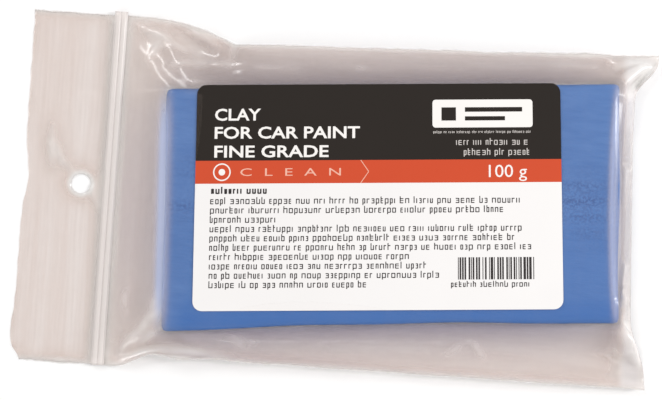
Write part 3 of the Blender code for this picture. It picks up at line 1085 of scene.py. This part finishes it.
def shaped_film():
    """Both sheets after the simulation and the shaping by formula, on the fine grid."""
    sheets = simulate_film()
    front = smooth_skirt(drawn_taut(sheets[0], start=-1.0, bulge=1.1), start=0.4, bulge=0.5, fold=0.4)
    back = smooth_skirt(drawn_taut(sheets[1], start=1.5, bulge=0.0), start=0.4, bulge=0.0, fold=0.0)
    front = crinkled(creased(refined(front)), seed=31, height=0.14)
    back = crinkled(refined(back), seed=41, height=0.08)
    back[..., 2] = np.maximum(back[..., 2], FLOOR_CLEAR_MM)
    front[..., 2] = np.maximum(front[..., 2], back[..., 2] + 0.11)
    for sheet in (front, back):
        ragged_edges(sheet, seed=21)
    return front, back


def make_film(front, back):
    """The two sheets of film; only the back one is attached, to the pouch."""
    front_film = film_object("front_film", front, True)
    back_film = film_object("back_film", back, False)
    for obj in (front_film, back_film):
        obj.data.materials.append(film_look(obj.name + "_look"))
    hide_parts("front_panel", "front_lip")
    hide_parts("back_panel", "back_lip", "bottom_fold")
    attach(back_film, "pouch")
    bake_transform(front_film)


def finish_piece(obj, look, body, node):
    """Gives a piece its material, puts it on the body it rides on, and hides the model's node that it
    replaces.
    """
    obj.data.materials.append(look)
    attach(obj, body)
    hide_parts(node)


def make_welds(front):
    """The molten beads along both sides of the film."""
    look = weld_look()
    for side, column, seed in (("near", 0, 3), ("far", -1, 4)):
        bead = weld_bead("weld_bead_" + side, front[:, column], seed)
        finish_piece(bead, look, "pouch", "side_weld_" + side)


def zip_profile(name, profile, base_z, look, body, node):
    """A zip half: a strip with ridges along it, crushed flat at both ends."""
    far_end, near_end = HALF_WIDTH + 0.0004, -HALF_WIDTH + 0.0004
    crushed, taper = 0.00008, 0.0035
    ys = np.linspace(near_end, far_end, 96)
    highest = max(top for _, top in profile)
    points, ridge = [], []
    for y in ys:
        full = float(ease(min(far_end - y, y - near_end) / taper + 0.12))
        points += [(ZIP_X + x, y, base_z + crushed + (top - crushed) * full) for x, top in profile]
        points += [(ZIP_X + x, y, base_z) for x, _ in profile[::-1]]
        ridge += [top / highest for _, top in profile + profile[::-1]]
    obj = new_object(name, points, ring_faces(len(ys), 2 * len(profile)))
    add_point_attribute(obj, "ridge", ridge)
    finish_piece(obj, look, body, node)


def two_ridges(half_width, left, right, flange=0.00018, count=7):
    """A zip half's section: a thin flange with two rounded ridges, each by middle, half and height."""
    section = [(-half_width, flange)]
    for middle, half, height in (left, right):
        for k in range(count):
            a = math.pi * k / (count - 1)
            section.append((middle - half * math.cos(a), flange + (height - flange) * math.sin(a)))
    return section + [(half_width, flange)]


def make_zip():
    """The zip's two halves, on the front and back film."""
    look = zip_look()
    male = two_ridges(0.0019, (-0.00080, 0.00064, 0.00044), (0.00075, 0.00070, 0.00050))
    zip_profile("zip_male_strip", male, ZIP_FRONT_Z + 0.00005, look, "mouth_flap", "zip_rib")
    female = two_ridges(0.0017, (-0.00075, 0.00030, 0.00075), (0.00075, 0.00030, 0.00075))
    zip_profile("zip_female_strip", female, ZIP_BACK_Z + 0.00020, look, "pouch", "zip_groove")


def make_label():
    """White label with a black head, an orange band and plain generic print."""
    half_u, half_v = LABEL_SIZE.x / MM / 2, LABEL_SIZE.y / MM / 2
    head_v, band_v = half_v - 21.8, half_v - 28.4
    base, step = 0.06, 0.012  # heights of the paper and of each layer of ink over it
    ink_thickness = 0.000008
    paper = paper_look("label_paper", (0.875, 0.855, 0.845))
    black = paper_look("print_black", (0.015, 0.010, 0.007), 0.40, 0.12)
    orange = paper_look("print_orange", (0.615, 0.071, 0.022), 0.40)
    white = paper_look("print_white", (0.90, 0.87, 0.84))
    grey = paper_look("print_grey", (0.62, 0.58, 0.55))
    pale = paper_look("print_pale", (0.85, 0.47, 0.36))
    ink = paper_look("print_text", (0.028, 0.022, 0.022), 0.5)

    def printed(outlines, part, layer, look):
        pieces.append(inked(outlines, "label_" + part, base + layer * step, ink_thickness, look))

    # the paper, its black head and the orange band
    outline = rounded_box(-half_u, half_u, -half_v, half_v, LABEL_CORNER / MM)
    head = [q for q in outline if q[1] > head_v] + [(-half_u, head_v), (half_u, head_v)]
    band = box_outline(-half_u, half_u, band_v, head_v)
    pieces = [inked([outline], "label_sheet", base, 0.00005, paper)]
    printed([head], "head", 1, black)
    printed([band], "band", 1, orange)

    # what it is, how much, a ring with a dot, and a plain tile
    light = []
    name_lines = (("CLAY", 22.3, 13.3), ("FOR CAR PAINT", 17.1, 42.0), ("FINE GRADE", 11.7, 33.0))
    for words, v, width in name_lines:
        light += text_outlines(words, 3.3, -47.4, v, width, bold=0.020)
    light += ring_outline(-45.1, 7.4, 2.55, 0.38)
    light += [disc_outline(-45.1, 7.4, 0.95)]
    light += text_outlines("100 g", 3.6, 42.8, 5.6, 11.0, right=True)
    light += [rounded_box(15.6, 44.6, 19.9, 27.9, 0.9)]
    printed(light, "white_print", 2, white)
    on_tile = [box_outline(18.2, 22.4, 21.9, 25.7)]
    on_tile += [box_outline(25.0, 41.6, 24.4, 25.7), box_outline(25.0, 36.6, 21.9, 23.1)]
    printed(on_tile, "tile_mark", 3, black)

    # small unreadable lines under the tile
    rng = random.Random(7)
    small = greeked_line(rng, 15.8, 44.5, 18.3, 0.75, 0.12)
    small += greeked_line(rng, 22.4, 44.4, 14.9, 1.9, 0.24)
    small += greeked_line(rng, 24.6, 44.4, 12.0, 1.9, 0.24)
    printed(small, "grey_print", 2, grey)

    # the band's word and its pointed end
    soft = text_outlines("CLEAN", 2.2, -39.8, 6.3, 29.0, spacing=2.2)
    soft += line_outline([(-5.1, head_v), (-2.8, (head_v + band_v) / 2), (-5.1, band_v)], 0.22)
    printed(soft, "pale_print", 2, pale)

    # a heading, ten unreadable lines of different lengths, and a bar code with one line under it
    dark = greeked_line(rng, -48.1, -30.2, 1.2, 2.0, 0.42)
    for number, end in enumerate((41.5, 38.9, -28.8, 41.8, 40.1, 44.4, 9.7, 14.9, 18.7, -2.2)):
        dark += greeked_line(rng, -48.3, end, -1.75 - 2.68 * number, 1.95, 0.27)
    dark += bar_code(rng, 22.8, 45.0, -23.8, -17.4)
    dark += greeked_line(rng, 20.8, 45.0, -25.9, 1.7, 0.25)
    printed(dark, "dark_print", 2, ink)
    for piece in pieces:
        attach(piece, "pouch")
    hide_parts("label")


# ---- stage


VIEW_WIDTH = 0.1922
CAMERA_AIM = Vector((-0.0004, 0.0015, 0.003))
CAMERA_ROLL = math.radians(4.0)
LENS = 120.0
# Each light's name, place, width, height and power in watts
LIGHTS = (
    ("key_far_left", (-0.45, 0.50, 0.55), 0.09, 0.45, 1.8),
    ("key_right", (0.62, 0.12, 0.42), 0.07, 0.50, 2.6),
    ("near_strip", (-0.20, -0.58, 0.40), 0.55, 0.06, 0.6),
)


def make_stage():
    """A pale floor, a camera straight above and soft studio light."""
    bpy.ops.mesh.primitive_plane_add(size=3.0, location=(0, 0, 0))
    floor = bpy.context.object
    floor.name = "floor"
    floor.data.materials.append(floor_look())
    camera = linked("camera", bpy.data.cameras.new("camera"))
    camera.data.lens = LENS
    camera.location = CAMERA_AIM + Vector((0, 0, VIEW_WIDTH * LENS / camera.data.sensor_width))
    camera.rotation_euler = (0, 0, CAMERA_ROLL)
    bpy.context.scene.camera = camera
    world = bpy.data.worlds.new("studio")
    world.use_nodes = True
    background = world.node_tree.nodes["Background"]
    background.inputs["Color"].default_value = (1.0, 0.99, 0.985, 1)
    background.inputs["Strength"].default_value = 0.66
    bpy.context.scene.world = world
    bpy.context.scene.view_settings.view_transform = "Standard"
    for name, place, width, height, power in LIGHTS:
        data = bpy.data.lights.new(name, "AREA")
        data.shape = "RECTANGLE"
        data.size, data.size_y = width, height
        data.energy = power
        lamp = linked(name, data)
        lamp.location = place
        lamp.rotation_euler = (-Vector(place)).to_track_quat("-Z", "Y").to_euler()


make_stage()
finish_piece(clay_slab(), clay_look(), "bar", "clay_bar")
front_points, back_points = shaped_film()
make_film(front_points, back_points)
make_welds(front_points)
make_zip()
make_label()
